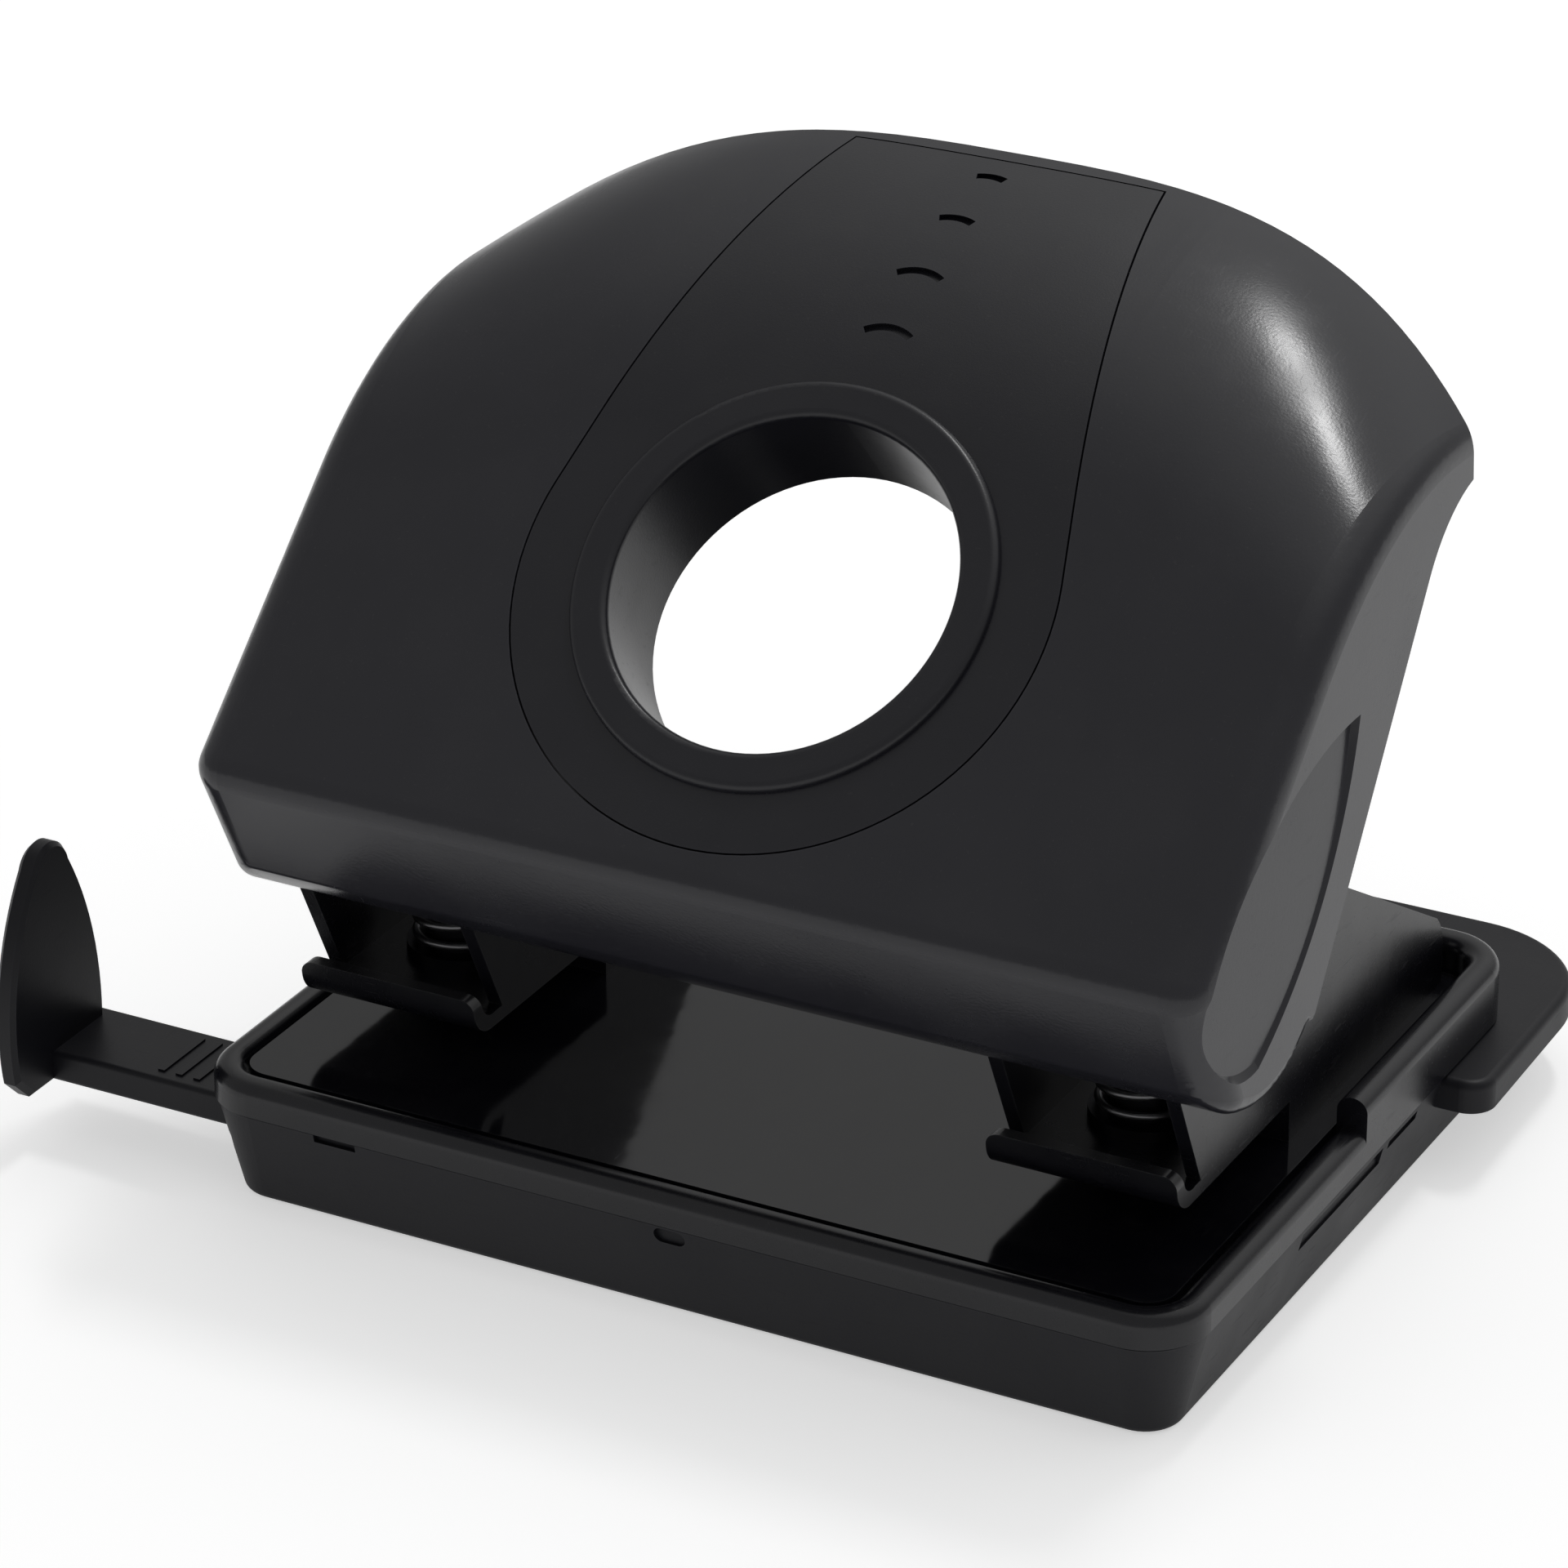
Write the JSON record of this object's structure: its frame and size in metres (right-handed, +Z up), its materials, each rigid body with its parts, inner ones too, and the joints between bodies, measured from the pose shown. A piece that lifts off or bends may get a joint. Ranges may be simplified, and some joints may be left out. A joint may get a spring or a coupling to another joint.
{
  "type": "hole punch",
  "caption": "Desk punch for two paper holes: lever handle with a round through hole, sprung punch pins in steel brackets, sliding paper guide and a hinged chip tray under the base.",
  "frame": {"origin": "centre of the chip tray's flat underside, the face the punch stands on", "axes": "+Z up, +X to the right seen from the front where the paper goes in, +Y to the back"},
  "size_m": [0.141, 0.1051, 0.1008],
  "materials": {
    "handle_plastic": "satin black moulded plastic",
    "inlay_plastic": "fine matt black moulded plastic",
    "frame_plastic": "semi-gloss black moulded plastic",
    "tray_plastic": "soft matt black plastic",
    "guide_plastic": "satin black plastic",
    "plate_steel": "satin black enamel",
    "bracket_steel": "satin black enamel",
    "lever_steel": "zinc plated pressing",
    "bright_steel": "zinc plated",
    "pin_steel": "ground and hardened",
    "spring_steel": "bright spring wire",
    "bush_steel": "blackened turned steel"
  },
  "bodies": {
    "base": {"base_frame": "frame_plastic", "base_plate": "plate_steel", "bracket_left": "bracket_steel", "bracket_right": "bracket_steel", "bracket_rivets": "bright_steel", "guide_bush_left": "bush_steel", "guide_bush_right": "bush_steel", "pivot_shaft_left": "bright_steel", "pivot_shaft_right": "bright_steel", "shaft_clips": "spring_steel", "guide_spring": "spring_steel", "tray_hinge_pins": "bright_steel", "punch_spring_left": "spring_steel", "punch_spring_right": "spring_steel"},
    "handle": {"handle_shell": "handle_plastic", "tongue_inlay": "inlay_plastic", "press_lever_left": "lever_steel", "press_lever_right": "lever_steel", "press_roller_left": "bright_steel", "press_roller_right": "bright_steel", "lever_screws": "bright_steel"},
    "punch_left": {"punch_pin_left": "pin_steel", "spring_washer_left": "bright_steel"},
    "punch_right": {"punch_pin_right": "pin_steel", "spring_washer_right": "bright_steel"},
    "guide": {"paper_guide": "guide_plastic"},
    "tray": {"chip_tray": "tray_plastic"}
  },
  "joints": [
    {"name": "handle_press", "type": "hinge", "parent": "base", "child": "handle", "pos_m": [0, -0.027, 0.043], "axis": [-1, 0, 0], "range_deg": [0, 32], "stiffness_Nm_per_rad": 0.35, "springref_deg": -25.78},
    {"name": "punch_left_slide", "type": "slide", "parent": "base", "child": "punch_left", "axis": [0, 0, -1], "range_m": [0, 0.0068], "deforming": ["punch_spring_left"]},
    {"name": "punch_right_slide", "type": "slide", "parent": "base", "child": "punch_right", "axis": [0, 0, -1], "range_m": [0, 0.0068], "deforming": ["punch_spring_right"]},
    {"name": "guide_slide", "type": "slide", "parent": "base", "child": "guide", "axis": [-1, 0, 0], "range_m": [-0.019, 0.0715]},
    {"name": "tray_open", "type": "hinge", "parent": "base", "child": "tray", "pos_m": [-0.05465, 0, 0.00895], "axis": [0, 1, 0], "range_deg": [0, 45]}
  ],
  "couplings": [
    {"joint": "punch_left_slide", "follows": "handle_press", "m_per_rad": 0.012141},
    {"joint": "punch_right_slide", "follows": "handle_press", "m_per_rad": 0.012141}
  ]
}
